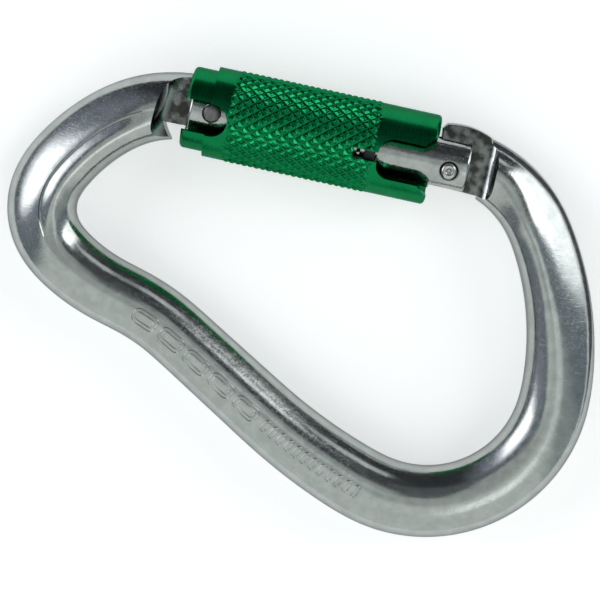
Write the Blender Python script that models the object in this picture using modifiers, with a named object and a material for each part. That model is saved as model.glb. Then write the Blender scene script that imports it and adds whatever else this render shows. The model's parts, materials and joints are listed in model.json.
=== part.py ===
"""Twist-lock carabiner with an asymmetric bent-rod body, a sprung solid gate and a knurled locking sleeve.

The body lies flat. +X runs along the gate from its hinge to the nose, +Y points away from the spine
and +Z is up, out of the face of the body. The origin is under the middle of the whole outline, at the
height where the sleeve rests on a table. Every dimension is in millimetres and becomes metres where
the geometry is made. Places named by two or three numbers are counted from the hinge pin's centre.
"""

import math

import bmesh
import bpy
from mathutils import Matrix

MM = 0.001

# Placing: the hinge pin's centre, seen from the middle of the outline and the table.
HINGE_X = -22.5
HINGE_Y = 30.5
SLEEVE_RADIUS = 8.45
HINGE_Z = SLEEVE_RADIUS

# Body: a rod bent in one plane, then pressed a little flatter than wide, with true flats on its wide parts.
ROD_START = (-3.9, 0.1)
ROD_START_HEADING = 188.0
ROD_START_DIAMETER = 12.2
ROD_FLATNESS = 0.87
DIE_GAP = 10.6
DIE_REACH = 120.0
STRAIGHT = None
# Each row: bend radius (negative bends back), degrees turned or length if straight, diameter at the end.
ROD_BENDS = (
    (STRAIGHT, 2.1, 12.2),
    (22.0, 30.5, 12.5),
    (35.0, 26.0, 12.9),
    (11.0, 79.5, 12.7),
    (34.5, 24.0, 12.4),
    (-38.0, 18.5, 12.4),
    (STRAIGHT, 22.0, 12.8),
    (103.5, 12.5, 13.7),
    (24.0, 110.5, 13.0),
    (56.5, 31.5, 11.5),
    (22.5, 47.4, 11.0),
)
ROD_STATION_LENGTH = 4.5
ROD_STATION_ANGLE = 9.0

# Flat tongues at both ends of the rod, and the scallops milled down to them.
TONGUE_THICKNESS = 4.8
HINGE_END_X = -5.05
HINGE_SWEEP_RADIUS = 9.1
HINGE_SWEEP_END_ANGLE = 245.0
HINGE_CUT_END_X = 12.0
HINGE_SCALLOP_X = -5.9
HINGE_SCALLOP_RADIUS = 4.5
NOSE_SHOULDER_X = 50.1
NOSE_SCALLOP_RADIUS = 2.5
TANG_RADIUS = 4.9
TANG_INNER_EDGE_Y = -3.4
TANG_ROOT_X = -11.0
TANG_ROOT_Y = 2.4
CAM_ANGLE = 45.0
CAM_RAMP_ANGLE = 31.0

# Gate and what it holds.
GATE_RADIUS = 5.1
GATE_START_X = -4.2
GATE_END_X = 47.6
GATE_CHAMFER = 0.5
FORK_GAP = 5.4
HINGE_SLOT_END_X = 6.3
NOSE_SLOT_START_X = 41.0
GATE_OPENING_ANGLE = 25.0
PLUNGER_TRAVEL = 0.9
PLUNGER_RADIUS = 1.8
PLUNGER_BACK_X = 9.6
PLUNGER_BORE_RADIUS = 2.05
PLUNGER_BORE_END_X = 24.0
PIN_CLEARANCE = 0.15
TOUCH_GAP = 0.3

HINGE_PIN_RADIUS = 1.6
PIN_HALF_LENGTH = 4.95
LATCH_PIN_PLACE = (44.1, -1.0)
LATCH_PIN_HEAD_RADIUS = 1.6
LATCH_PIN_NECK_RADIUS = 0.8
LATCH_PIN_NECK_HALF_LENGTH = 2.6
LATCH_POCKET_CLEARANCE = 0.2

# Nose tongue: its hook keeps clear of the sleeve's end as the gate swings past it.
NOSE_TIP_RADIUS_FROM_HINGE = 41.85
NOSE_TIP_TOP_Y = 6.6
NOSE_HOOK_END_Y = -2.4
NOSE_INNER_EDGE_Y = -4.4
NOSE_TOP_ARC_RADIUS = 13.5
NOSE_TOP_ARC_CENTRE = (45.1, -6.1)
NOSE_TOP_END_X = 50.6
NOSE_ROOT_X = 53.0

# Locking sleeve.
SLEEVE_BORE_RADIUS = 6.55
SLEEVE_SMOOTH_RADIUS = 8.3
SLEEVE_NECK_RADIUS = 7.5
SLEEVE_START_X = -4.8
SLEEVE_STEP_X = -0.4
SLEEVE_KNURL_START_X = 2.9
SLEEVE_KNURL_END_X = 30.5
KNURL_RUNOUT = 0.2
SLEEVE_END_X = 41.0
SLEEVE_END_ROUNDING = 1.0
SLEEVE_NECK_ROUNDING = 0.6
HINGE_NOTCH_WIDTH = 5.9
HINGE_NOTCH_END_X = 3.2
NOSE_NOTCH_WIDTH = 7.5
NOSE_NOTCH_START_X = 30.9
NOSE_NOTCH_CORNER_RADIUS = 2.6
NOSE_NOTCH_FLARE = 2.1
LEG_SLOT_WIDTH = 1.85
LEG_SLOT_START_X = 26.4
# At rest the notches stand this far round from square to the face; a twist lines them up with the tongues.
SLEEVE_REST_ANGLE = 8.0
TWIST_ANGLE = 90.0 - SLEEVE_REST_ANGLE

# Stop pin in the gate, running in a quarter-turn groove inside the sleeve.
STOP_PIN_X = 11.0
STOP_PIN_RADIUS = 0.9
STOP_PIN_INNER_END = 2.8
STOP_PIN_OUTER_END = 7.1
STOP_GROOVE_DEPTH_RADIUS = 7.4

# Bushes between the gate and the sleeve.
BUSH_INNER_RADIUS = 5.3
BUSH_OUTER_RADIUS = 6.35
HINGE_BUSH_X = (6.0, 9.0)
NOSE_BUSH_X = (28.4, 30.4)

# Springs: wire centrelines.
GATE_SPRING_RADIUS = 1.4
GATE_SPRING_WIRE = 0.5
GATE_SPRING_TURNS = 7
GATE_SPRING_POINTS_PER_TURN = 12
SLEEVE_SPRING_RADIUS = 5.87
SLEEVE_SPRING_WIRE = 0.7
SLEEVE_SPRING_TURNS = 6.25 + SLEEVE_REST_ANGLE / 360.0
SLEEVE_SPRING_POINTS_PER_TURN = 20
SLEEVE_SPRING_X = (13.2, 27.3)
SLEEVE_SPRING_LEG_END = 7.6
SLEEVE_SPRING_FOOT_END = 4.5
SPRING_FOOT_HOLE_RADIUS = 0.65
SPRING_FOOT_HOLE_LENGTH = 4.0

ROUND_STEPS = 32
SLEEVE_STEPS = 48
MERGE_DISTANCE = 0.000005
CUTTER_OVERLAP = 2.0
FAR = 30.0


def clear_scene():
    for old in list(bpy.data.objects):
        bpy.data.objects.remove(old, do_unlink=True)


def new_collection(name):
    collection = bpy.data.collections.new(name)
    bpy.context.scene.collection.children.link(collection)
    return collection


def metal(name, colour, roughness):
    return surface(name, colour, roughness, 1.0)


def surface(name, colour, roughness, metallic):
    material = bpy.data.materials.new(name)
    material.use_nodes = True
    shader = material.node_tree.nodes["Principled BSDF"]
    shader.inputs["Base Color"].default_value = (*colour, 1.0)
    shader.inputs["Roughness"].default_value = roughness
    shader.inputs["Metallic"].default_value = metallic
    return material


def add_object(name, data, collection):
    added = bpy.data.objects.new(name, data)
    collection.objects.link(added)
    return added


def as_cutter(shape):
    shape.hide_render = True
    shape.display_type = "WIRE"
    return shape


def on_circle(centre, radius, degrees):
    angle = math.radians(degrees)
    return (centre[0] + radius * math.cos(angle), centre[1] + radius * math.sin(angle))


def arc_points(centre, radius, start, end, count):
    """count + 1 points on a circle, from the start angle to the end angle in degrees."""
    return [on_circle(centre, radius, start + (end - start) * i / count) for i in range(count + 1)]


def mesh_from_curve(shape, collection):
    """Replaces a curve object by the closed mesh it draws."""
    bpy.context.view_layer.update()
    evaluated = shape.evaluated_get(bpy.context.evaluated_depsgraph_get())
    mesh = bpy.data.meshes.new_from_object(evaluated)
    weld = bmesh.new()
    weld.from_mesh(mesh)
    bmesh.ops.remove_doubles(weld, verts=weld.verts, dist=MERGE_DISTANCE)
    bmesh.ops.recalc_face_normals(weld, faces=weld.faces)
    weld.to_mesh(mesh)
    weld.free()
    name = shape.name
    matrix = shape.matrix_world.copy()
    bpy.data.objects.remove(shape, do_unlink=True)
    solid = add_object(name, mesh, collection)
    solid.matrix_world = matrix
    return solid


def wire(name, points, radii, sides_resolution, collection):
    """A round wire or rod along points, with the radius given at each point."""
    curve = bpy.data.curves.new(name, "CURVE")
    curve.dimensions = "3D"
    curve.bevel_depth = MM
    curve.bevel_resolution = sides_resolution
    curve.use_fill_caps = True
    spline = curve.splines.new("POLY")
    spline.points.add(len(points) - 1)
    for target, place, radius in zip(spline.points, points, radii):
        target.co = (place[0] * MM, place[1] * MM, place[2] * MM, 1.0)
        target.radius = radius
    return mesh_from_curve(add_object(name, curve, collection), collection)


def plate(name, outline, thickness, collection):
    """A flat outline in XY with the thickness centred on its plane."""
    curve = bpy.data.curves.new(name, "CURVE")
    curve.dimensions = "2D"
    curve.fill_mode = "BOTH"
    curve.extrude = thickness / 2 * MM
    spline = curve.splines.new("POLY")
    spline.points.add(len(outline) - 1)
    for target, place in zip(spline.points, outline):
        target.co = (place[0] * MM, place[1] * MM, 0.0, 1.0)
    spline.use_cyclic_u = True
    return mesh_from_curve(add_object(name, curve, collection), collection)


def turned(name, profile, steps, collection):
    """A shape turned about the X axis; the profile holds (x, radius) and runs from high x to low x."""
    mesh = bpy.data.meshes.new(name)
    points = [(radius * MM, 0.0, x * MM) for x, radius in profile]
    edges = [(i, i + 1) for i in range(len(points) - 1)]
    if profile[0] == profile[-1]:
        points.pop()
        edges[-1] = (len(points) - 1, 0)
    mesh.from_pydata(points, edges, [])
    solid = add_object(name, mesh, collection)
    screw = solid.modifiers.new("turn", "SCREW")
    screw.steps = steps
    screw.render_steps = steps
    screw.use_merge_vertices = True
    screw.merge_threshold = MERGE_DISTANCE
    solid.rotation_euler = (0.0, math.radians(90.0), 0.0)
    return solid


def block(name, low, high, collection):
    """A box between two corners."""
    mesh = bpy.data.meshes.new(name)
    box = bmesh.new()
    bmesh.ops.create_cube(box, size=1.0)
    for corner in box.verts:
        for axis in range(3):
            centre = (low[axis] + high[axis]) / 2
            corner.co[axis] = (centre + corner.co[axis] * (high[axis] - low[axis])) * MM
    box.to_mesh(mesh)
    box.free()
    return add_object(name, mesh, collection)


def round_bar(name, radius, length, steps, collection):
    """A cylinder along Z, centred on its own origin."""
    mesh = bpy.data.meshes.new(name)
    bar = bmesh.new()
    bmesh.ops.create_cone(
        bar,
        cap_ends=True,
        segments=steps,
        radius1=radius * MM,
        radius2=radius * MM,
        depth=length * MM,
    )
    bar.to_mesh(mesh)
    bar.free()
    return add_object(name, mesh, collection)


def at(shape, x, y, z):
    shape.location = (x * MM, y * MM, z * MM)
    return shape


def combine(target, tool, operation):
    boolean = target.modifiers.new(tool.name, "BOOLEAN")
    boolean.object = tool
    boolean.operation = operation
    boolean.solver = "EXACT"


def cut(target, tool):
    combine(target, as_cutter(tool), "DIFFERENCE")


def join(target, tool):
    combine(target, as_cutter(tool), "UNION")


def hang_on_hinge(hinge, collections):
    """Everything was made around the hinge pin's centre, so it all hangs on that point."""
    for collection in collections:
        for shape in collection.objects:
            if shape is not hinge:
                shape.parent = hinge


def finish_piece(piece, material):
    piece.data.materials.clear()
    piece.data.materials.append(material)
    piece.data.shade_smooth()
    piece.data.set_sharp_from_angle(angle=math.radians(35.0))


def rod_stations():
    """Walks the bends and returns (x, y, radius) along the rod's centreline."""
    x, y = ROD_START
    heading = math.radians(ROD_START_HEADING)
    diameter = ROD_START_DIAMETER
    stations = [(x, y, diameter / 2)]
    for bend_radius, amount, end_diameter in ROD_BENDS:
        if bend_radius is STRAIGHT:
            length = amount
            turn = 0.0
        else:
            length = abs(bend_radius) * math.radians(amount)
            turn = math.copysign(math.radians(amount), bend_radius)
        by_length = math.ceil(length / ROD_STATION_LENGTH)
        by_angle = math.ceil(math.degrees(abs(turn)) / ROD_STATION_ANGLE)
        count = max(by_length, by_angle)
        step = length / count
        for i in range(count):
            middle = heading + turn / count / 2
            x += step * math.cos(middle)
            y += step * math.sin(middle)
            heading += turn / count
            reached = diameter + (end_diameter - diameter) * (i + 1) / count
            stations.append((x, y, reached / 2))
        diameter = end_diameter
    return stations


def tang_outline():
    """Outline of the hinge tongue: a round end that grows into a cam on its inner side."""
    centre = (0.0, 0.0)
    cam_rise = PLUNGER_TRAVEL / GATE_OPENING_ANGLE
    top = arc_points(centre, TANG_RADIUS, 90.0, 0.0, 8)
    cam = []
    steps = 8
    for i in range(1, steps + 1):
        angle = CAM_ANGLE * i / steps
        rise = min(angle, CAM_RAMP_ANGLE) * cam_rise
        cam.append(on_circle(centre, TANG_RADIUS + rise, -angle))
    inner_end = 180.0 + math.degrees(math.asin(-TANG_INNER_EDGE_Y / TANG_RADIUS))
    bottom = arc_points(centre, TANG_RADIUS, -CAM_ANGLE - 12.0, inner_end - 360.0, 6)
    root = [(TANG_ROOT_X, TANG_INNER_EDGE_Y), (TANG_ROOT_X, TANG_ROOT_Y)]
    return top + cam + bottom + root + [(HINGE_END_X, TANG_RADIUS)]


def hinge_clearance_outline():
    """Outline cut off the rod's hinge end, so that the sleeve can swing past with the gate."""
    start = 180.0 + math.degrees(math.asin(-TANG_INNER_EDGE_Y / HINGE_SWEEP_RADIUS))
    sweep = arc_points((0.0, 0.0), HINGE_SWEEP_RADIUS, start, HINGE_SWEEP_END_ANGLE, 8)
    end = [(HINGE_CUT_END_X, -FAR), (HINGE_CUT_END_X, FAR)]
    return [(HINGE_END_X, FAR), (HINGE_END_X, TANG_INNER_EDGE_Y)] + sweep + end


def nose_outline():
    """Outline of the nose tongue, with the pocket that opens inwards for the latch pin."""
    pin_x, pin_y = LATCH_PIN_PLACE
    pocket = LATCH_PIN_NECK_RADIUS + LATCH_POCKET_CLEARANCE
    tip_x = math.sqrt(NOSE_TIP_RADIUS_FROM_HINGE**2 - NOSE_TIP_TOP_Y**2)
    arc_x, arc_y = NOSE_TOP_ARC_CENTRE
    start = math.degrees(math.acos((NOSE_TOP_END_X - arc_x) / NOSE_TOP_ARC_RADIUS))
    end = math.degrees(math.acos((tip_x + 0.9 - arc_x) / NOSE_TOP_ARC_RADIUS))
    top = arc_points(NOSE_TOP_ARC_CENTRE, NOSE_TOP_ARC_RADIUS, start, end, 8)
    tip_top = math.degrees(math.asin((NOSE_TIP_TOP_Y - 0.6) / NOSE_TIP_RADIUS_FROM_HINGE))
    tip_end = math.degrees(math.asin((NOSE_HOOK_END_Y + 0.4) / NOSE_TIP_RADIUS_FROM_HINGE))
    tip = arc_points((0.0, 0.0), NOSE_TIP_RADIUS_FROM_HINGE, tip_top, tip_end, 5)
    hook = [(tip[-1][0] + 0.4, NOSE_HOOK_END_Y), (pin_x - pocket - 0.3, NOSE_HOOK_END_Y)]
    hook.append((pin_x - pocket, NOSE_HOOK_END_Y + 0.3))
    seat = arc_points(LATCH_PIN_PLACE, pocket, 180.0, 0.0, 8)
    inner = [(pin_x + pocket, NOSE_INNER_EDGE_Y + 0.6), (pin_x + pocket + 0.6, NOSE_INNER_EDGE_Y)]
    root = [(NOSE_SHOULDER_X + 0.4, NOSE_INNER_EDGE_Y - 0.2), (NOSE_ROOT_X, NOSE_INNER_EDGE_Y)]
    return top + tip + hook + seat + inner + root + [(NOSE_ROOT_X, 0.0)]


def make_body(part, tools, material):
    stations = rod_stations()
    places = [(x, y, 0.0) for x, y, radius in stations]
    body = wire("body", places, [radius for x, y, radius in stations], 8, part)
    body.data.transform(Matrix.Diagonal((1.0, 1.0, ROD_FLATNESS, 1.0)))
    dies = block("dies", (-DIE_REACH, -DIE_REACH, -DIE_GAP / 2), (DIE_REACH, DIE_REACH, DIE_GAP / 2), tools)
    combine(body, as_cutter(dies), "INTERSECT")
    cut(body, plate("hinge_clearance", hinge_clearance_outline(), 2 * FAR, tools))
    cut(body, block("nose_shoulder", (FAR, -FAR, -FAR), (NOSE_SHOULDER_X, FAR, FAR), tools))
    ends = (
        ("hinge", HINGE_SCALLOP_X, HINGE_SCALLOP_RADIUS),
        ("nose", NOSE_SHOULDER_X, NOSE_SCALLOP_RADIUS),
    )
    for end_name, x, radius in ends:
        for side_name, side in (("upper", 1), ("lower", -1)):
            scallop = round_bar(f"{end_name}_{side_name}_scallop", radius, FAR, ROUND_STEPS, tools)
            scallop.rotation_euler = (math.radians(90.0), 0.0, 0.0)
            cut(body, at(scallop, x, 0.0, side * (TONGUE_THICKNESS / 2 + radius)))
    half = TONGUE_THICKNESS / 2
    for relief_name, low, high in (("upper_relief", half, FAR), ("lower_relief", -FAR, -half)):
        start = (HINGE_SCALLOP_X, -FAR, low)
        cut(body, block(relief_name, start, (HINGE_CUT_END_X, FAR, high), tools))
    join(body, plate("hinge_tang", tang_outline(), TONGUE_THICKNESS, tools))
    join(body, plate("nose_tongue", nose_outline(), TONGUE_THICKNESS, tools))
    cut(body, round_bar("tang_hole", HINGE_PIN_RADIUS + PIN_CLEARANCE, FAR, ROUND_STEPS, tools))
    finish_piece(body, material)


def make_gate(part, tools, material):
    profile = [
        (GATE_END_X, 0.0),
        (GATE_END_X, GATE_RADIUS - GATE_CHAMFER),
        (GATE_END_X - GATE_CHAMFER, GATE_RADIUS),
        (GATE_START_X + GATE_CHAMFER, GATE_RADIUS),
        (GATE_START_X, GATE_RADIUS - GATE_CHAMFER),
        (GATE_START_X, 0.0),
    ]
    gate = turned("gate", profile, ROUND_STEPS, part)
    half_gap = FORK_GAP / 2
    cut(gate, block("hinge_fork", (-FAR, -FAR, -half_gap), (HINGE_SLOT_END_X, FAR, half_gap), tools))
    cut(gate, block("nose_fork", (NOSE_SLOT_START_X, -FAR, -half_gap), (2 * FAR, FAR, half_gap), tools))
    bore = round_bar(
        "plunger_bore",
        PLUNGER_BORE_RADIUS,
        PLUNGER_BORE_END_X - HINGE_SLOT_END_X + CUTTER_OVERLAP,
        ROUND_STEPS,
        tools,
    )
    bore.rotation_euler = (0.0, math.radians(90.0), 0.0)
    cut(gate, at(bore, (HINGE_SLOT_END_X - CUTTER_OVERLAP + PLUNGER_BORE_END_X) / 2, 0.0, 0.0))
    cut(gate, round_bar("hinge_hole", HINGE_PIN_RADIUS + PIN_CLEARANCE, FAR, ROUND_STEPS, tools))
    latch_hole = round_bar("latch_hole", LATCH_PIN_HEAD_RADIUS + PIN_CLEARANCE, FAR, ROUND_STEPS, tools)
    cut(gate, at(latch_hole, *LATCH_PIN_PLACE, 0.0))
    stop_hole = radial_bar("stop_hole", STOP_PIN_RADIUS + PIN_CLEARANCE, STOP_PIN_INNER_END - 0.2, tools)
    cut(gate, stop_hole)
    hole_start = SLEEVE_SPRING_FOOT_END - TOUCH_GAP
    foot_hole = round_bar("spring_foot_hole", SPRING_FOOT_HOLE_RADIUS, SPRING_FOOT_HOLE_LENGTH, 12, tools)
    foot_hole.rotation_euler = (math.radians(90.0), 0.0, 0.0)
    cut(gate, at(foot_hole, SLEEVE_SPRING_X[0], hole_start + SPRING_FOOT_HOLE_LENGTH / 2, 0.0))
    finish_piece(gate, material)


def radial_bar(name, radius, inner_end, collection, outer_end=FAR):
    """A bar standing on the gate's axis at the stop pin's place, pointing towards -Y."""
    bar = round_bar(name, radius, outer_end - inner_end, 16, collection)
    bar.rotation_euler = (math.radians(90.0), 0.0, 0.0)
    return at(bar, STOP_PIN_X, -(inner_end + outer_end) / 2, 0.0)


def domed_pin_profile(half_length, head_radius, neck_radius, neck_half_length):
    """Half of a rivet's profile mirrored onto the other half, with slightly domed ends."""
    dome_height = 0.35
    upper = [
        (half_length, 0.0),
        (half_length - dome_height * 0.3, head_radius * 0.6),
        (half_length - dome_height, head_radius),
    ]
    if neck_radius < head_radius:
        upper += [(neck_half_length, head_radius), (neck_half_length, neck_radius)]
    lower = [(-x, radius) for x, radius in reversed(upper)]
    return upper + lower


def make_rivet(name, place, profile, part, material):
    rivet = turned(name, profile, ROUND_STEPS, part)
    rivet.rotation_euler = (0.0, 0.0, 0.0)
    at(rivet, place[0], place[1], 0.0)
    finish_piece(rivet, material)


def make_stop_pin(part, material):
    pin = radial_bar("stop_pin", STOP_PIN_RADIUS, STOP_PIN_INNER_END, part, STOP_PIN_OUTER_END)
    finish_piece(pin, material)


def make_plunger(part, material):
    """The plunger, with a round nose that rests on the tang's cam."""
    tip_x = TANG_RADIUS + TOUCH_GAP
    nose_centre = (tip_x + PLUNGER_RADIUS, 0.0)
    nose = arc_points(nose_centre, PLUNGER_RADIUS, 90.0, 180.0, 8)
    nose[-1] = (tip_x, 0.0)
    back = [(PLUNGER_BACK_X, 0.0), (PLUNGER_BACK_X, PLUNGER_RADIUS)]
    plunger = turned("gate_plunger", back + nose, 24, part)
    finish_piece(plunger, material)


def coil_points(radius, start_x, end_x, turns, points_per_turn, start_angle):
    """Points on a coil about the X axis; the angle is counted from +Y towards +Z."""
    count = round(turns * points_per_turn)
    points = []
    for i in range(count + 1):
        angle = math.radians(start_angle + 360.0 * turns * i / count)
        x = start_x + (end_x - start_x) * i / count
        points.append((x, radius * math.cos(angle), radius * math.sin(angle)))
    return points


def make_gate_spring(part, material):
    start = PLUNGER_BACK_X + PLUNGER_TRAVEL + GATE_SPRING_WIRE
    end = PLUNGER_BORE_END_X - GATE_SPRING_WIRE
    points = coil_points(
        GATE_SPRING_RADIUS, start, end, GATE_SPRING_TURNS, GATE_SPRING_POINTS_PER_TURN, 0.0
    )
    spring = wire("gate_spring", points, [GATE_SPRING_WIRE / 2] * len(points), 2, part)
    finish_piece(spring, material)


def make_sleeve_spring(part, material):
    """A torsion spring: its foot turns in towards the gate, its leg stands up into the sleeve's slot."""
    foot_x, leg_x = SLEEVE_SPRING_X
    coil = coil_points(
        SLEEVE_SPRING_RADIUS, foot_x, leg_x, SLEEVE_SPRING_TURNS, SLEEVE_SPRING_POINTS_PER_TURN, 0.0
    )
    foot = [(foot_x, SLEEVE_SPRING_FOOT_END, 0.0), (foot_x, SLEEVE_SPRING_FOOT_END + 0.6, 0.0)]
    slant = math.radians(SLEEVE_REST_ANGLE)
    leg = []
    for distance in (SLEEVE_SPRING_RADIUS + 0.7, SLEEVE_SPRING_LEG_END):
        leg.append((leg_x, -distance * math.sin(slant), distance * math.cos(slant)))
    points = foot + coil[:-1] + leg
    spring = wire("sleeve_spring", points, [SLEEVE_SPRING_WIRE / 2] * len(points), 2, part)
    finish_piece(spring, material)


def rounded_end(x, radius, rounding, direction):
    """Four points that round a sleeve's outer corner; direction is +1 at the high-x end."""
    centre = (x - direction * rounding, radius - rounding)
    start, end = (0.0, 90.0) if direction > 0 else (90.0, 180.0)
    return arc_points(centre, rounding, start, end, 4)


def make_sleeve(part, tools, material):
    outside = rounded_end(SLEEVE_END_X, SLEEVE_SMOOTH_RADIUS, SLEEVE_END_ROUNDING, 1)
    outside += [
        (SLEEVE_KNURL_END_X + KNURL_RUNOUT, SLEEVE_SMOOTH_RADIUS),
        (SLEEVE_KNURL_END_X, SLEEVE_RADIUS),
        (SLEEVE_KNURL_START_X, SLEEVE_RADIUS),
        (SLEEVE_KNURL_START_X - KNURL_RUNOUT, SLEEVE_SMOOTH_RADIUS),
        (SLEEVE_STEP_X, SLEEVE_SMOOTH_RADIUS),
        (SLEEVE_STEP_X, SLEEVE_NECK_RADIUS),
    ]
    outside += rounded_end(SLEEVE_START_X, SLEEVE_NECK_RADIUS, SLEEVE_NECK_ROUNDING, -1)
    inside = [(SLEEVE_START_X, SLEEVE_BORE_RADIUS), (SLEEVE_END_X, SLEEVE_BORE_RADIUS)]
    sleeve = turned("locking_sleeve", outside + inside + [outside[0]], SLEEVE_STEPS, part)
    half_slot = LEG_SLOT_WIDTH / 2
    slots = (
        plate("hinge_notch", hinge_notch_outline(), FAR, tools),
        plate("nose_notch", nose_notch_outline(), FAR, tools),
        block("leg_slot", (LEG_SLOT_START_X, -half_slot, 0), (32, half_slot, FAR), tools),
    )
    for slot in slots:
        slot.rotation_euler = (math.radians(SLEEVE_REST_ANGLE), 0.0, 0.0)
        cut(sleeve, slot)
    cut(sleeve, stop_groove(tools))
    finish_piece(sleeve, material)


def hinge_notch_outline():
    half = HINGE_NOTCH_WIDTH / 2
    round_end = arc_points((HINGE_NOTCH_END_X - half, 0.0), half, -90.0, 90.0, 10)
    return round_end + [(SLEEVE_START_X - CUTTER_OVERLAP, half), (SLEEVE_START_X - CUTTER_OVERLAP, -half)]


def nose_notch_outline():
    half = NOSE_NOTCH_WIDTH / 2
    corner = NOSE_NOTCH_CORNER_RADIUS
    corner_x = NOSE_NOTCH_START_X + corner
    upper = arc_points((corner_x, half - corner), corner, 90.0, 180.0, 6)
    lower = arc_points((corner_x, corner - half), corner, 180.0, 270.0, 6)
    mouth = SLEEVE_END_X - NOSE_NOTCH_FLARE
    reach = NOSE_NOTCH_FLARE + CUTTER_OVERLAP
    flare = [(mouth, -half), (mouth + reach, -half - reach), (mouth + reach, half + reach), (mouth, half)]
    return upper + lower + flare


def stop_groove(tools):
    """A sector of a ring that lets the stop pin travel as the sleeve twists."""
    half_width = STOP_PIN_RADIUS + PIN_CLEARANCE + 0.1
    margin = math.degrees((STOP_PIN_RADIUS + 0.35) / SLEEVE_BORE_RADIUS)
    centre = (0.0, 0.0)
    start = 180.0 - TWIST_ANGLE - margin
    end = 180.0 + margin
    outline = arc_points(centre, STOP_GROOVE_DEPTH_RADIUS, start, end, 16)
    outline += arc_points(centre, SLEEVE_BORE_RADIUS - 1.0, end, start, 16)
    groove = plate("stop_groove", outline, 2 * half_width, tools)
    groove.rotation_euler = (math.radians(90.0), 0.0, math.radians(90.0))
    return at(groove, STOP_PIN_X, 0.0, 0.0)


def make_bush(name, span, part, material):
    low, high = span
    ring = [
        (high, BUSH_INNER_RADIUS),
        (high, BUSH_OUTER_RADIUS),
        (low, BUSH_OUTER_RADIUS),
        (low, BUSH_INNER_RADIUS),
        (high, BUSH_INNER_RADIUS),
    ]
    bush = turned(name, ring, ROUND_STEPS, part)
    finish_piece(bush, material)


def main():
    clear_scene()
    part = new_collection("locking_carabiner")
    tools = new_collection("cutters")
    hinge = add_object("hinge_axis", None, part)
    hinge.location = (HINGE_X * MM, HINGE_Y * MM, HINGE_Z * MM)

    polished = metal("polished_metal", (0.75, 0.76, 0.76), 0.16)
    steel = metal("steel", (0.62, 0.62, 0.62), 0.3)
    spring_steel = metal("spring_steel", (0.5, 0.5, 0.5), 0.35)
    green = metal("green_anodised", (0.01, 0.28, 0.11), 0.32)
    plastic = surface("black_plastic", (0.02, 0.02, 0.02), 0.5, 0.0)

    make_body(part, tools, polished)
    make_gate(part, tools, polished)
    hinge_pin = domed_pin_profile(PIN_HALF_LENGTH, HINGE_PIN_RADIUS, HINGE_PIN_RADIUS, 0.0)
    make_rivet("hinge_pin", (0.0, 0.0), hinge_pin, part, steel)
    latch_pin = domed_pin_profile(
        PIN_HALF_LENGTH, LATCH_PIN_HEAD_RADIUS, LATCH_PIN_NECK_RADIUS, LATCH_PIN_NECK_HALF_LENGTH
    )
    make_rivet("latch_pin", LATCH_PIN_PLACE, latch_pin, part, steel)
    make_stop_pin(part, steel)
    make_plunger(part, steel)
    make_gate_spring(part, spring_steel)
    make_sleeve(part, tools, green)
    make_sleeve_spring(part, spring_steel)
    make_bush("hinge_end_bush", HINGE_BUSH_X, part, plastic)
    make_bush("nose_end_bush", NOSE_BUSH_X, part, plastic)
    hang_on_hinge(hinge, (part, tools))


main()
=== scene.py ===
import json
import math

import bmesh
import bpy
from mathutils import Matrix, Vector


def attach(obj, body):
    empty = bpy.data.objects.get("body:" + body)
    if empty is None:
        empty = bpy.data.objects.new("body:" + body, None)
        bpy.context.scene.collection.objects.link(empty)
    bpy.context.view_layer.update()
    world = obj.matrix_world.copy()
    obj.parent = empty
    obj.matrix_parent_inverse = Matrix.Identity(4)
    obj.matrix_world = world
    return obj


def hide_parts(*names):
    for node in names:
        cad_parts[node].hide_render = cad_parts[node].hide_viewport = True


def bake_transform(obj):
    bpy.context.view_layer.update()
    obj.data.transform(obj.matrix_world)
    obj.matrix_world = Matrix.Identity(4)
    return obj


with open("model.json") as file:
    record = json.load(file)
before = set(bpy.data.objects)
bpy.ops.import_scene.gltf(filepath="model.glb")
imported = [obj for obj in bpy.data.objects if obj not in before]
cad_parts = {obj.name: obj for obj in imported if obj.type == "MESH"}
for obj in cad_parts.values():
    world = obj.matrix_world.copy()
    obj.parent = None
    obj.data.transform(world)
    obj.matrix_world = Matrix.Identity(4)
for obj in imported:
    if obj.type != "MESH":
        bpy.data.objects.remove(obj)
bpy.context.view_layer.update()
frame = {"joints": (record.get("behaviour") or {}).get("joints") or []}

# The looks of a locking carabiner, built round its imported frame.
#
# Shapes are given in millimetres from the hinge pin's centre: +X runs along the gate to its nose, +Y away
# from the spine and +Z out of the face. They become metres in the frame's own axes where they are made.

MM = 0.001
HINGE = Vector(next(j["pos_m"] for j in frame["joints"] if j["name"] == "gate_swing"))

# How far cutters reach past the body, the gate and the sleeve, and past an edge that they open.
BODY_CUT_REACH = 30.0
GATE_CUT_REACH = 20.0
SLEEVE_CUT_REACH = 12.0
CUTTER_OVERLAP = 2.0

# Body: the rod's bends, as in the frame: radius (negative bends back), degrees or length, end diameter.
ROD_START = (-3.9, 0.1)
ROD_START_HEADING = 188.0
ROD_START_DIAMETER = 12.2
ROD_FLATNESS = 0.87
ROD_HALF_HEIGHT = 5.3
STRAIGHT = None
ROD_BENDS = (
    (STRAIGHT, 2.1, 12.2),
    (22.0, 30.5, 12.5),
    (35.0, 26.0, 12.9),
    (11.0, 79.5, 12.7),
    (34.5, 24.0, 12.4),
    (-38.0, 18.5, 12.4),
    (STRAIGHT, 22.0, 12.8),
    (103.5, 12.5, 13.7),
    (24.0, 110.5, 13.0),
    (56.5, 31.5, 11.5),
    (22.5, 47.4, 11.0),
)
# How finely the rod is drawn, and how far to each side its bends and diameters are averaged at their joins.
ROD_STEP = 0.5
ROD_SIDES = 192
BEND_BLENDING = 3.5
DIAMETER_BLENDING = 6.0

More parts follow.
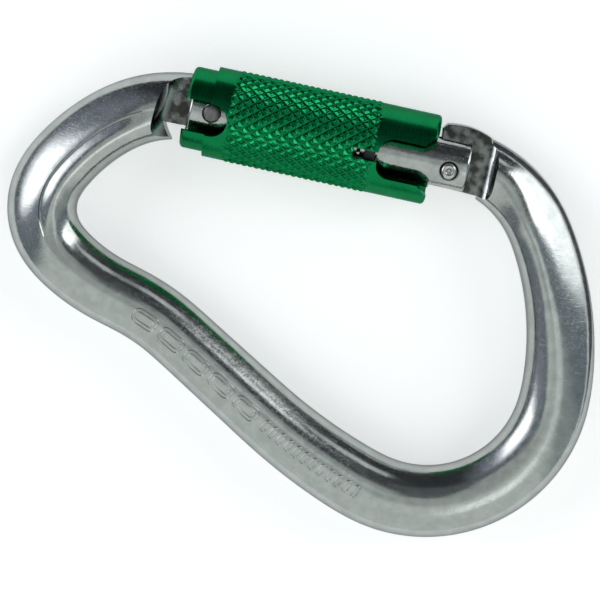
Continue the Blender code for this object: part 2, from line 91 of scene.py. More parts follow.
# Fold along the tight bend: distances along the rod, then places and widths as shares of the rod's radius.
FOLD_START = (3.0, 16.0)
FOLD_END = (30.0, 47.0)
FOLD_PLACE = 0.04
FOLD_STEEP_WIDTH = 0.04
FOLD_LONG_WIDTH = 0.45
FOLD_DEPTH = 0.6
# Bending thins the outer side: how much higher the inner side stands, there and on the nose's bend.
FOLD_LEAN = 0.38
NOSE_LEAN = 0.42
NOSE_LEAN_SPAN = (150.0, 190.0)
NOSE_LEAN_END = (196.0, 207.0)

# Raised marks on the spine's front face: distances along the rod, and outward from its middle line.
MARKS_OUTWARD = 0.85
MARK_RADIUS = 0.16
MARK_SIDES = 8
FRAMES_START = 66.0
FRAME_COUNT = 5
FRAME_PITCH = 6.2
FRAME_HALF_SIZE = (2.5, 1.45)
FRAME_CORNER = 1.0
FRAME_BAND = 0.7
BARS_START = 95.6
BAR_COUNT = 12
BAR_PITCH = 1.85
BAR_HALF_SIZE = (0.45, 1.2)

# Where the rod is cut back to its tongues.
HINGE_END_X = -5.05
HINGE_CUT_END_X = 12.0
HINGE_SWEEP_RADIUS = 9.1
HINGE_SWEEP_END_ANGLE = 245.0
HINGE_SCALLOP_X = -5.9
HINGE_SCALLOP_RADIUS = 4.5
HINGE_SCALLOP_SLANT = -5.0
NOSE_CUT_START_X = 30.0
NOSE_SHOULDER_X = 50.1
NOSE_SCALLOP_RADIUS = 2.5
SCALLOP_LENGTH = 13.0
SCALLOP_TOP = 20.0
SCALLOP_HALF_WIDTH = 12.0

# Hinge tongue: round about the pin, with a cam that lifts the plunger as the gate opens.
TONGUE_HALF = 2.4
TANG_RADIUS = 4.9
TANG_INNER_EDGE_Y = -3.4
TANG_ROOT_X = -11.0
TANG_ROOT_Y = 2.4
TANG_EDGE_ROUNDING = 0.3
OPENING_ANGLE = 25.0
CAM_RISE = 0.9
CAM_RAMP_ANGLE = 31.0
CAM_ANGLE = 45.0
CAM_DROP_ANGLE = 12.0

# Nose tongue: a curved top, a hook over the latch pin's neck and a round pocket for it.
NOSE_TIP_RADIUS_FROM_HINGE = 41.85
NOSE_TIP_TOP_Y = 6.6
NOSE_TIP_CHAMFER = (0.9, 0.6)
NOSE_HOOK_END_Y = -2.4
NOSE_HOOK_CHAMFER = 0.4
NOSE_POCKET_PLAY = 0.2
NOSE_POCKET_CHAMFER = 0.3
NOSE_INNER_EDGE_Y = -4.4
NOSE_INNER_CHAMFER = 0.6
NOSE_TOP_ARC_RADIUS = 13.5
NOSE_TOP_ARC_CENTRE = (45.1, -6.1)
NOSE_TOP_END_X = 50.6
NOSE_ROOT_X = 53.0
NOSE_ROOT_STEP = (0.4, 0.2)
NOSE_EDGE_ROUNDING = 0.25

# Gate.
GATE_RADIUS = 5.1
GATE_X = (-4.2, 47.6)
GATE_SIDES = 96
GATE_END_ROUNDING = 0.6
GATE_RING_SPACING = 1.5
FORK_HALF_GAP = 2.7
HINGE_FORK_END_X = 6.3
NOSE_FORK_START_X = 41.0
NOSE_FORK_CUT_END_X = 60.0
BORE_RADIUS = 2.05
BORE_END_X = 24.0
BORE_SIDES = 32

# Pins, with their gap in the gate's holes, and the plunger. Heads: (depth below the top, radius) points.
PIN_RADIUS = 1.6
PIN_HALF_LENGTH = 4.95
PIN_GAP = 0.15
PIN_SIDES = 48
WORN_HEAD = ((0.0, 0.2), (0.02, 0.7), (0.08, 1.15), (0.2, 1.45), (0.4, PIN_RADIUS))
SPUN_HEAD = (
    (0.42, 0.08),
    (0.4, 0.3),
    (0.22, 0.42),
    (0.14, 0.5),
    (0.15, 0.58),
    (0.05, 0.8),
    (0.04, 1.0),
    (0.14, 1.25),
    (0.34, 1.45),
    (0.6, 1.56),
    (0.8, PIN_RADIUS),
)
LATCH_PIN = (44.1, -1.0)
LATCH_NECK_RADIUS = 0.8
LATCH_NECK_HALF_LENGTH = 2.6
LATCH_RECESS_RADIUS = 1.9
LATCH_RECESS_DEPTH = 0.75
LATCH_RECESS_DRAFT = 0.05
STOP_PIN_X = 11.0
STOP_PIN_RADIUS = 0.9
STOP_PIN_SPAN = (2.8, 7.1)
STOP_HOLE_FLOOR_GAP = 0.2
PLUNGER_RADIUS = 1.8
PLUNGER_BACK_X = 9.6
PLUNGER_BACK_CHAMFER = 0.2
PLUNGER_TOUCH_GAP = 0.3
PLUNGER_TIP_ANGLE = 175.0
PLUNGER_SIDES = 40

# Locking sleeve: the knurl's starts go round it, its pitch along it, and its samples are per start or pitch.
SLEEVE_X = (-4.8, 41.0)
SLEEVE_EDGE_ROUNDING = 0.75
SLEEVE_BORE_RADIUS = 6.55
SLEEVE_BORE_CHAMFER = 0.2
SMOOTH_RADIUS = 8.3
NECK_RADIUS = 7.5
STEP_X = -0.4
KNURL_X = (2.9, 30.5)
KNURL_TIP_RADIUS = 8.45
KNURL_VALLEY_RADIUS = 7.97
KNURL_FLANK_SHARE = 0.82
KNURL_STARTS = 28
KNURL_PITCH = 2.3
KNURL_SAMPLES = 12
KNURL_RUN_OUT = 1.3
REST_ANGLE = 8.0
TWIST_ANGLE = 82.0
HINGE_NOTCH_HALF = 2.95
HINGE_NOTCH_END_X = 3.2
NOSE_NOTCH_HALF = 3.75
NOSE_NOTCH_START_X = 30.9
NOSE_NOTCH_CORNER = 2.6
NOSE_NOTCH_FLARE = 2.1
LEG_SLOT_HALF = 0.925
LEG_SLOT_X = (26.4, 32.0)
GROOVE_RADIUS = 7.4
GROOVE_SIDE_GAP = 0.25
GROOVE_END_GAP = 0.35

# Springs, with their points per turn and their wires' sides. The sleeve's spring has a foot in the gate and
# a leg in the sleeve's slot. A wire's dome: (place along it, radius) as shares of the wire's radius.
GATE_SPRING = {"radius": 1.4, "wire": 0.5, "x": (11.0, 23.5), "turns": 7.0, "steps": 28, "sides": 10}
SLEEVE_SPRING = {
    "radius": 5.87,
    "wire": 0.7,
    "x": (13.2, 27.3),
    "turns": 6.25 + REST_ANGLE / 360.0,
    "steps": 48,
    "sides": 12,
}
SLEEVE_SPRING_LEG_END = 7.6
SLEEVE_SPRING_LEG_BEND = 0.7
SLEEVE_SPRING_FOOT_END = 4.5
SLEEVE_SPRING_FOOT_BEND = 0.8
SPRING_FOOT_HOLE_RADIUS = 0.65
SPRING_FOOT_HOLE_FLOOR_GAP = 0.3
WIRE_DOME = ((0.0, 1.0), (0.35, 0.88), (0.7, 0.55))

# Bushes.
BUSH_RADII = (5.3, 6.35)
BUSH_CHAMFER = 0.12
BUSH_SIDES = 72
HINGE_BUSH_X = (6.0, 9.0)
NOSE_BUSH_X = (28.4, 30.4)

# Camera: nearly straight down on the face, with the picture turned against the gate.
CAMERA_TILT = 8.0
CAMERA_AZIMUTH = 1.68
CAMERA_ROLL = 12.37
CAMERA_DISTANCE = 0.45
CAMERA_LENS = 146.65
CAMERA_SENSOR = 36.0
CAMERA_CLIP = (0.01, 20.0)
CAMERA_TARGET = Vector((0.28, 0.08, 8.45)) * MM

# Metals: light and dark colour of the mottling, roughness, and how strong the grain is.
BODY_METAL = ((0.44, 0.465, 0.45), (0.38, 0.405, 0.39), 0.12, 1.0)
GATE_METAL = ((0.46, 0.48, 0.47), (0.37, 0.39, 0.38), 0.13, 1.2)
PIN_METAL = ((0.50, 0.50, 0.49), (0.42, 0.42, 0.41), 0.2, 0.8)
WORN_METAL = ((0.25, 0.25, 0.245), (0.14, 0.14, 0.135), 0.34, 2.5)
WIRE_METAL = ((0.50, 0.49, 0.47), (0.40, 0.39, 0.37), 0.22, 0.6)
# Painted shade on the low flats that face up or down, in the gaps between the parts: their heights from the
# middle, how level they are, the painted shade's colour, and how much rougher they are.
SHADED_FLAT_HEIGHTS = (2.6, 3.3)
SHADED_FLAT_LEVELS = (0.8, 0.93)
PAINTED_SHADE_COLOUR = (0.05, 0.052, 0.048)
SHADED_FLAT_ROUGHNESS = 0.12

# Floor, and a dark card on it: a sector of a ring that widens from a point over the first share of its arc.
FLOOR_RADIUS = 3.0
FLOOR_GLOW = 0.45
CARD_CENTRE = (45.0, -30.0)
CARD_RADII = (46.0, 130.0)
CARD_ANGLES = (-22.0, 87.0)
CARD_TAPER = 0.35
CARD_STEPS = 24
CARD_HEIGHTS = (0.05, 0.1)

# The studio round the object, by angle off the view axis and by direction in the picture (0 right, 90 up):
# (off axis from, to, direction from, to, softness, colour). Later patches lie over earlier ones.
STUDIO_REST = (0.84, 0.89, 0.86)
STUDIO_PATCHES = (
    (22.0, 190.0, 24.0, 214.0, 12.0, (0.05, 0.054, 0.06)),
    (22.0, 190.0, 180.0, 216.0, 16.0, (0.21, 0.24, 0.27)),
    (24.0, 190.0, -48.0, -20.0, 16.0, (0.42, 0.47, 0.47)),
    (14.0, 190.0, -24.0, 6.0, 12.0, (0.24, 0.28, 0.32)),
    (-30.0, 19.0, -190.0, 390.0, 10.0, (0.55, 0.59, 0.58)),
    (-6.0, 30.0, 44.0, 140.0, 8.0, (0.14, 0.15, 0.16)),
    (14.0, 30.0, 8.0, 62.0, 6.0, (0.07, 0.075, 0.085)),
    (7.0, 30.0, -68.0, -28.0, 9.0, (0.95, 1.0, 1.0)),
    (30.0, 82.0, 126.0, 204.0, 26.0, (0.3, 0.33, 0.4)),
    (42.0, 73.0, 147.0, 183.0, 17.0, (3.4, 3.4, 3.6)),
    (50.0, 98.0, 3.0, 38.0, 10.0, (2.3, 2.33, 2.4)),
    (32.0, 56.0, 7.0, 34.0, 9.0, (3.6, 3.6, 3.7)),
    (42.0, 54.0, 44.0, 63.0, 6.0, (0.9, 0.93, 0.96)),
    (28.0, 44.0, -86.0, -62.0, 8.0, (1.6, 1.65, 1.65)),
)
BACKDROP = (0.93, 0.94, 0.94)


# ---------------------------------------------------------------- shape helpers


def link(name, mesh):
    """An object for a mesh, put into the scene."""
    piece = bpy.data.objects.new(name, mesh)
    bpy.context.scene.collection.objects.link(piece)
    return piece


def solid_from(name, points, faces):
    """A mesh object from points in millimetres round the hinge, with its faces turned outwards."""
    mesh = bpy.data.meshes.new(name)
    mesh.from_pydata([HINGE + Vector(p) * MM for p in points], [], faces)
    shape = bmesh.new()
    shape.from_mesh(mesh)
    bmesh.ops.recalc_face_normals(shape, faces=shape.faces)
    shape.to_mesh(mesh)
    shape.free()
    return link(name, mesh)


def skin(name, rings, joined_ends=False):
    """Quads between equal rings of points, closed with caps or joined last ring to first."""
    sides = len(rings[0])
    points = [p for ring in rings for p in ring]
    faces = []
    count = len(rings)
    for i in range(count if joined_ends else count - 1):
        first = i * sides
        second = (i + 1) % count * sides
        for k in range(sides):
            after = (k + 1) % sides
            faces.append((first + k, first + after, second + after, second + k))
    if not joined_ends:
        faces.append(tuple(range(sides)))
        faces.append(tuple(range(len(points) - 1, len(points) - 1 - sides, -1)))
    return solid_from(name, points, faces)


def spokes(sides):
    """Cosine and sine of evenly spaced directions round a circle."""
    angles = [math.tau * k / sides for k in range(sides)]
    return [(math.cos(angle), math.sin(angle)) for angle in angles]


def turned_x(name, profile, sides, closed=False):
    """A solid turned about the gate's axis, from (x, radius) points."""
    round_axis = spokes(sides)
    rings = [[(x, radius * c, radius * s) for c, s in round_axis] for x, radius in profile]
    return skin(name, rings, closed)


def turned_z(name, place, profile):
    """A solid turned about an axis square to the face, from (z, radius) points."""
    x, y = place
    round_axis = spokes(PIN_SIDES)
    rings = [[(x + radius * c, y + radius * s, z) for c, s in round_axis] for z, radius in profile]
    return skin(name, rings)


def pin_hole(name, place, reach):
    """A cutter for a pin's hole, right through a piece."""
    hole = PIN_RADIUS + PIN_GAP
    return turned_z(name, place, [(-reach, hole), (reach, hole)])


def slab(name, outline, low, high, tilt=0.0):
    """An outline in XY between two heights, tilted about the gate's axis by degrees."""
    turn = Matrix.Rotation(math.radians(tilt), 3, "X")
    rings = [[turn @ Vector((x, y, z)) for x, y in outline] for z in (low, high)]
    return skin(name, rings)


def edged_slab(name, outline, half, rounding):
    """A plate whose faces lie at plus and minus half, with its edges rounded off."""
    plate = slab(name, outline, -half, half)
    bevel = plate.modifiers.new("rounded edges", "BEVEL")
    bevel.width = rounding * MM
    bevel.segments = 4
    bevel.limit_method = "ANGLE"
    bevel.angle_limit = math.radians(60.0)
    return settle(plate)


def box(name, low, high, tilt=0.0):
    """A box between two corners, tilted about the gate's axis by degrees."""
    outline = [(low[0], low[1]), (high[0], low[1]), (high[0], high[1]), (low[0], high[1])]
    return slab(name, outline, low[2], high[2], tilt)


def on_circle(centre, radius, degrees):
    """A point on a circle, at an angle in degrees."""
    angle = math.radians(degrees)
    return centre[0] + radius * math.cos(angle), centre[1] + radius * math.sin(angle)


def arc(centre, radius, start, end, count):
    """count + 1 points on a circle between two angles in degrees."""
    return [on_circle(centre, radius, start + (end - start) * i / count) for i in range(count + 1)]


def settle(piece):
    """Replaces a piece's mesh by what its modifiers make of it."""
    bpy.context.view_layer.update()
    evaluated = piece.evaluated_get(bpy.context.evaluated_depsgraph_get())
    mesh = bpy.data.meshes.new_from_object(evaluated)
    piece.modifiers.clear()
    piece.data = mesh
    return piece


def carve(piece, *tools, operation="DIFFERENCE"):
    """Cuts each tool out of the piece, or joins it on, and removes the tool."""
    for tool in tools:
        boolean = piece.modifiers.new(tool.name, "BOOLEAN")
        boolean.object = tool
        boolean.operation = operation
        boolean.solver = "EXACT"
        settle(piece)
        bpy.data.objects.remove(tool, do_unlink=True)


def tube(name, path, radius, sides):
    """A round wire swept along points, with domed ends."""
    places = [Vector(p) for p in path]
    last = len(places) - 1
    round_wire = spokes(sides)
    rings = []
    across = None
    for i, place in enumerate(places):
        along = (places[min(i + 1, last)] - places[max(i - 1, 0)]).normalized()
        if across is None:
            across = along.orthogonal().normalized()
        across = (across - along * across.dot(along)).normalized()
        other = along.cross(across)
        dome = WIRE_DOME[:1]
        if i == 0:
            dome = [(-shift, scale) for shift, scale in reversed(WIRE_DOME)]
        if i == last:
            dome = WIRE_DOME
        for shift, scale in dome:
            centre = place + along * shift * radius
            rings.append([centre + (across * c + other * s) * radius * scale for c, s in round_wire])
    return skin(name, rings)


def smooth(piece, sharp_angle):
    """Smooth shading, apart from edges sharper than an angle in degrees."""
    piece.data.shade_smooth()
    piece.data.set_sharp_from_angle(angle=math.radians(sharp_angle))


def finish_piece(piece, material, body, node, sharp_angle=30.0):
    """Gives a piece its material and its shading, hangs it on its body if it has one, and hides the frame's
    node that it replaces.
    """
    piece.data.materials.clear()
    piece.data.materials.append(material)
    smooth(piece, sharp_angle)
    if body is not None:
        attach(piece, body)
    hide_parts(node)


def smoothstep(value, low, high):
    """Rises smoothly from 0 at low to 1 at high."""
    t = min(max((value - low) / (high - low), 0.0), 1.0)
    return t * t * (3.0 - 2.0 * t)


# ---------------------------------------------------------------- body


def running_mean(values, half_window):
    """Each value averaged with its neighbours, with fewer of them near the ends."""
    result = []
    last = len(values) - 1
    for i in range(len(values)):
        reach = min(half_window, i, last - i)
        window = values[i - reach : i + reach + 1]
        result.append(sum(window) / len(window))
    return result


def rod_path():
    """Walks the bends and returns (x, y, heading, radius) along the rod, with the joins eased."""
    headings = [math.radians(ROD_START_HEADING)]
    radii = [ROD_START_DIAMETER / 2]
    steps = []
    for bend_radius, amount, end_diameter in ROD_BENDS:
        if bend_radius is STRAIGHT:
            length = amount
            turn = 0.0
        else:
            length = abs(bend_radius) * math.radians(amount)
            turn = math.copysign(math.radians(amount), bend_radius)
        count = round(length / ROD_STEP)
        heading = headings[-1]
        radius = radii[-1]
        for i in range(1, count + 1):
            headings.append(heading + turn * i / count)
            radii.append(radius + (end_diameter / 2 - radius) * i / count)
            steps.append(length / count)
    headings = running_mean(headings, round(BEND_BLENDING / ROD_STEP))
    radii = running_mean(radii, round(DIAMETER_BLENDING / ROD_STEP))
    x, y = ROD_START
    path = [(x, y, headings[0], radii[0])]
    for i, step in enumerate(steps):
        middle = (headings[i] + headings[i + 1]) / 2
        x += step * math.cos(middle)
        y += step * math.sin(middle)
        path.append((x, y, headings[i + 1], radii[i + 1]))
    return path


def fold_share(distance):
    """How much of the fold there is at a distance along the rod, from 0 to 1."""
    return smoothstep(distance, *FOLD_START) * (1.0 - smoothstep(distance, *FOLD_END))


def fold_depth(distance, across):
    """Depth of the fold that bending left on both faces, steep outwards and long inwards."""
    steep = smoothstep(across, FOLD_PLACE - FOLD_STEEP_WIDTH, FOLD_PLACE)
    long = 1.0 - smoothstep(across, FOLD_PLACE, FOLD_PLACE + FOLD_LONG_WIDTH)
    return FOLD_DEPTH * fold_share(distance) * steep * long


def rod_point(station, distance, angle):
    """A place on the rod's surface; the angle runs from the inner side over the face."""
    x, y, heading, radius = station
    across = math.cos(angle)
    nose_share = smoothstep(distance, *NOSE_LEAN_SPAN) * (1.0 - smoothstep(distance, *NOSE_LEAN_END))
    lean = FOLD_LEAN * fold_share(distance) + NOSE_LEAN * nose_share
    height = min(radius * ROD_FLATNESS, ROD_HALF_HEIGHT) * math.sin(angle) * (1.0 + lean * across)
    height -= math.copysign(fold_depth(distance, across), height)
    inward = radius * across
    return (x - inward * math.sin(heading), y + inward * math.cos(heading), height)


def tang_outline():
    """Hinge tongue, round about the pin, with the cam on its lower right."""
    centre = (0.0, 0.0)
    top = arc(centre, TANG_RADIUS, 90.0, 0.0, 24)
    cam = []
    steps = 24
    for i in range(1, steps + 1):
        angle = CAM_ANGLE * i / steps
        rise = min(angle, CAM_RAMP_ANGLE) * CAM_RISE / OPENING_ANGLE
        cam.append(on_circle(centre, TANG_RADIUS + rise, -angle))
    inner_end = -180.0 + math.degrees(math.asin(-TANG_INNER_EDGE_Y / TANG_RADIUS))
    bottom = arc(centre, TANG_RADIUS, -CAM_ANGLE - CAM_DROP_ANGLE, inner_end, 20)
    root = [(TANG_ROOT_X, TANG_INNER_EDGE_Y), (TANG_ROOT_X, TANG_ROOT_Y)]
    return top + cam + bottom + root + [(HINGE_END_X, TANG_RADIUS)]


def hinge_clearance_outline():
    """What is cut off the rod's hinge end, so that the sleeve can swing past it."""
    far = BODY_CUT_REACH
    start = 180.0 + math.degrees(math.asin(-TANG_INNER_EDGE_Y / HINGE_SWEEP_RADIUS))
    sweep = arc((0.0, 0.0), HINGE_SWEEP_RADIUS, start, HINGE_SWEEP_END_ANGLE, 32)
    end = [(HINGE_CUT_END_X, -far), (HINGE_CUT_END_X, far)]
    return [(HINGE_END_X, far), (HINGE_END_X, TANG_INNER_EDGE_Y)] + sweep + end


def nose_outline():
    """Nose tongue, from the shoulder over its top to the hook, round the latch pin's pocket and back."""
    pin_x = LATCH_PIN[0]
    pocket = LATCH_NECK_RADIUS + NOSE_POCKET_PLAY
    tip_radius = NOSE_TIP_RADIUS_FROM_HINGE
    tip_x = math.sqrt(tip_radius**2 - NOSE_TIP_TOP_Y**2)
    arc_x = NOSE_TOP_ARC_CENTRE[0]
    start = math.degrees(math.acos((NOSE_TOP_END_X - arc_x) / NOSE_TOP_ARC_RADIUS))
    end = math.degrees(math.acos((tip_x + NOSE_TIP_CHAMFER[0] - arc_x) / NOSE_TOP_ARC_RADIUS))
    top = arc(NOSE_TOP_ARC_CENTRE, NOSE_TOP_ARC_RADIUS, start, end, 24)
    tip_top = math.degrees(math.asin((NOSE_TIP_TOP_Y - NOSE_TIP_CHAMFER[1]) / tip_radius))
    tip_end = math.degrees(math.asin((NOSE_HOOK_END_Y + NOSE_HOOK_CHAMFER) / tip_radius))
    tip = arc((0.0, 0.0), tip_radius, tip_top, tip_end, 12)
    hook = [
        (tip[-1][0] + NOSE_HOOK_CHAMFER, NOSE_HOOK_END_Y),
        (pin_x - pocket - NOSE_POCKET_CHAMFER, NOSE_HOOK_END_Y),
        (pin_x - pocket, NOSE_HOOK_END_Y + NOSE_POCKET_CHAMFER),
    ]
    seat = arc(LATCH_PIN, pocket, 180.0, 0.0, 24)
    inner = [
        (pin_x + pocket, NOSE_INNER_EDGE_Y + NOSE_INNER_CHAMFER),
        (pin_x + pocket + NOSE_INNER_CHAMFER, NOSE_INNER_EDGE_Y),
    ]
    root = [
        (NOSE_SHOULDER_X + NOSE_ROOT_STEP[0], NOSE_INNER_EDGE_Y - NOSE_ROOT_STEP[1]),
        (NOSE_ROOT_X, NOSE_INNER_EDGE_Y),
        (NOSE_ROOT_X, 0.0),
    ]
    return top + tip + hook + seat + inner + root


def scallop(name, shoulder_x, radius, towards, side, slant):
    """A cutter with a round foot, for the step from the rod down to a tongue on one face."""
    foot = arc((0.0, TONGUE_HALF + radius), radius, -90.0, -180.0, 24)
    outline = foot + [(-radius, SCALLOP_TOP), (SCALLOP_LENGTH, SCALLOP_TOP), (SCALLOP_LENGTH, TONGUE_HALF)]
    turn = math.radians(slant)
    rings = []
    for y in (-SCALLOP_HALF_WIDTH, SCALLOP_HALF_WIDTH):
        ring = []
        for x, z in outline:
            x *= towards
            slanted_x = shoulder_x + x * math.cos(turn) - y * math.sin(turn)
            ring.append((slanted_x, x * math.sin(turn) + y, side * z))
        rings.append(ring)
    return skin(name, rings)


def make_body(path, material):
    """The rod, cut back to its two tongues, with the hinge pin's hole."""
    rings = []
    for i, station in enumerate(path):
        rings.append([rod_point(station, i * ROD_STEP, math.tau * k / ROD_SIDES) for k in range(ROD_SIDES)])
    body = skin("forged_body", rings)
    far = BODY_CUT_REACH
    for side in (1, -1):
        carve(body, scallop("hinge", HINGE_SCALLOP_X, HINGE_SCALLOP_RADIUS, 1, side, HINGE_SCALLOP_SLANT))
    for side in (1, -1):
        carve(body, scallop("nose", NOSE_SHOULDER_X, NOSE_SCALLOP_RADIUS, -1, side, 0.0))
    carve(
        body,
        slab("hinge_end", hinge_clearance_outline(), -far, far),
        box("nose_end", (NOSE_CUT_START_X, -far, -far), (NOSE_SHOULDER_X, far, far)),
    )
    carve(
        body,
        edged_slab("tang", tang_outline(), TONGUE_HALF, TANG_EDGE_ROUNDING),
        edged_slab("nose", nose_outline(), TONGUE_HALF, NOSE_EDGE_ROUNDING),
        operation="UNION",
    )
    carve(body, pin_hole("pin_hole", (0.0, 0.0), far))
    finish_piece(body, material, "body", "body", sharp_angle=32.0)


def on_face(path, distance, outward):
    """A place on the rod's front face, by distance along the rod and outward from its middle line."""
    x, y, heading, radius = path[round(distance / ROD_STEP)]
    along = distance - round(distance / ROD_STEP) * ROD_STEP
    x += along * math.cos(heading)
    y += along * math.sin(heading)
    height = min(radius * ROD_FLATNESS, ROD_HALF_HEIGHT) * math.sqrt(1.0 - (outward / radius) ** 2)
    return Vector((x + outward * math.sin(heading), y - outward * math.cos(heading), height))


def rounded_frame(centre, half_width, half_height, corner):
    """Points round a rectangle with round corners."""
    points = []
    for turn, (side, rise) in enumerate(((1, 1), (-1, 1), (-1, -1), (1, -1))):
        middle = (centre[0] + side * (half_width - corner), centre[1] + rise * (half_height - corner))
        points += arc(middle, corner, 90.0 * turn, 90.0 * turn + 90.0, 6)
    return points


def merged(name, pieces):
    """One piece made of several, which are removed."""
    shape = bmesh.new()
    for piece in pieces:
        shape.from_mesh(piece.data)
        bpy.data.objects.remove(piece, do_unlink=True)
    mesh = bpy.data.meshes.new(name)
    shape.to_mesh(mesh)
    shape.free()
    return link(name, mesh)


def make_spine_marks(path, material):
    """Plain raised frames and bars where the real rod has its forged marking."""
    outlines = []
    for i in range(FRAME_COUNT):
        middle = (FRAMES_START + FRAME_PITCH * i, MARKS_OUTWARD)
        for inset in (0.0, FRAME_BAND):
            half_size = [half - inset for half in FRAME_HALF_SIZE]
            outlines.append(rounded_frame(middle, *half_size, FRAME_CORNER - inset))
    for i in range(BAR_COUNT):
        middle = (BARS_START + BAR_PITCH * i, MARKS_OUTWARD)
        outlines.append(rounded_frame(middle, *BAR_HALF_SIZE, BAR_HALF_SIZE[0]))
    lines = []
    for outline in outlines:
        points = [on_face(path, *place) for place in outline + outline[:1]]
        lines.append(tube("mark", points, MARK_RADIUS, MARK_SIDES))
    marks = merged("spine_marks", lines)
    marks.data.materials.append(material)
    smooth(marks, 60.0)
    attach(marks, "body")


# ---------------------------------------------------------------- gate and what it holds


def rounded_bar_profile(span, radius, rounding, steps=6):
    """Profile of a bar with rounded ends, each with a small ring round its centre."""
    low, high = span
    centre_ring = radius * 0.1
    start = arc((low + rounding, radius - rounding), rounding, 180.0, 90.0, steps)
    end = arc((high - rounding, radius - rounding), rounding, 90.0, 0.0, steps)
    return [(low, centre_ring)] + start + end + [(high, centre_ring)]


def make_gate(material):
    """A round bar, forked at both ends, with its bore and its pins' holes."""
    profile = rounded_bar_profile(GATE_X, GATE_RADIUS, GATE_END_ROUNDING)
    filled = []
    for (x, r), (next_x, next_r) in zip(profile, profile[1:]):
        parts = max(1, round(abs(next_x - x) / GATE_RING_SPACING))
        filled += [(x + (next_x - x) * i / parts, r + (next_r - r) * i / parts) for i in range(parts)]
    filled.append(profile[-1])
    gate = turned_x("gate_bar", filled, GATE_SIDES)
    far = GATE_CUT_REACH
    gap = FORK_HALF_GAP
    recess = LATCH_RECESS_RADIUS
    recess_mouth = LATCH_RECESS_RADIUS + LATCH_RECESS_DRAFT
    recess_floor = PIN_HALF_LENGTH - LATCH_RECESS_DEPTH
    stop_hole_floor = -STOP_PIN_SPAN[0] + STOP_HOLE_FLOOR_GAP
    foot_hole_floor = SLEEVE_SPRING_FOOT_END - SPRING_FOOT_HOLE_FLOOR_GAP
    carve(
        gate,
        box("hinge_fork", (-far, -far, -gap), (HINGE_FORK_END_X, far, gap)),
        box("nose_fork", (NOSE_FORK_START_X, -far, -gap), (NOSE_FORK_CUT_END_X, far, gap)),
        turned_x(
            "bore",
            [(HINGE_FORK_END_X - CUTTER_OVERLAP, BORE_RADIUS), (BORE_END_X, BORE_RADIUS)],
            BORE_SIDES,
        ),
        pin_hole("hinge_hole", (0.0, 0.0), far),
        pin_hole("latch_hole", LATCH_PIN, far),
        turned_z("upper_recess", LATCH_PIN, [(recess_floor, recess), (far, recess_mouth)]),
        turned_z("lower_recess", LATCH_PIN, [(-far, recess_mouth), (-recess_floor, recess)]),
        radial_rod("stop_hole", STOP_PIN_X, STOP_PIN_RADIUS + PIN_GAP, -far, stop_hole_floor),
        radial_rod("foot_hole", SLEEVE_SPRING["x"][0], SPRING_FOOT_HOLE_RADIUS, foot_hole_floor, far),
    )
    finish_piece(gate, material, "gate", "gate")


def radial_rod(name, x, radius, low_y, high_y):
    """A round rod lying along Y at a place on the gate's axis, with slightly rounded ends."""
    rounding = radius * 0.15
    profile = [(low_y, radius - rounding), (low_y + rounding, radius)]
    profile += [(high_y - rounding, radius), (high_y, radius - rounding)]
    rings = [[(x + reach * c, y, reach * s) for c, s in spokes(BORE_SIDES)] for y, reach in profile]
    return skin(name, rings)


def mirrored(upper):
    """A profile of (height, radius) from the top down, with its lower half added."""
    return upper + [(-height, radius) for height, radius in reversed(upper)]


def make_pins(steel, dull):
    """Both rivets, the stop pin and the plunger."""
    top = PIN_HALF_LENGTH
    worn_head = [(top - depth, radius) for depth, radius in WORN_HEAD]
    hinge_pin = turned_z("hinge_rivet", (0.0, 0.0), mirrored(worn_head))
    finish_piece(hinge_pin, dull, "gate", "hinge_pin")
    spun_head = [(top - depth, radius) for depth, radius in SPUN_HEAD]
    neck = [(LATCH_NECK_HALF_LENGTH, PIN_RADIUS), (LATCH_NECK_HALF_LENGTH, LATCH_NECK_RADIUS)]
    latch_pin = turned_z("latch_rivet", LATCH_PIN, mirrored(spun_head + neck))
    finish_piece(latch_pin, steel, "gate", "latch_pin")
    inner, outer = STOP_PIN_SPAN
    stop = radial_rod("stop_dowel", STOP_PIN_X, STOP_PIN_RADIUS, -outer, -inner)
    finish_piece(stop, steel, "gate", "stop_pin")
    tip = TANG_RADIUS + PLUNGER_TOUCH_GAP
    nose = arc((tip + PLUNGER_RADIUS, 0.0), PLUNGER_RADIUS, PLUNGER_TIP_ANGLE, 90.0, 12)
    back = [
        (PLUNGER_BACK_X - PLUNGER_BACK_CHAMFER, PLUNGER_RADIUS),
        (PLUNGER_BACK_X, PLUNGER_RADIUS - PLUNGER_BACK_CHAMFER),
    ]
    plunger = turned_x("plunger_pin", nose + back, PLUNGER_SIDES)
    finish_piece(plunger, steel, "plunger", "gate_plunger")


def coil(spring):
    """Points of a coil about the gate's axis, starting at +Y and turning towards +Z."""
    count = round(spring["turns"] * spring["steps"])
    low, high = spring["x"]
    points = []
    for i in range(count + 1):
        angle = math.tau * spring["turns"] * i / count
        x = low + (high - low) * i / count
        points.append((x, spring["radius"] * math.cos(angle), spring["radius"] * math.sin(angle)))
    return points


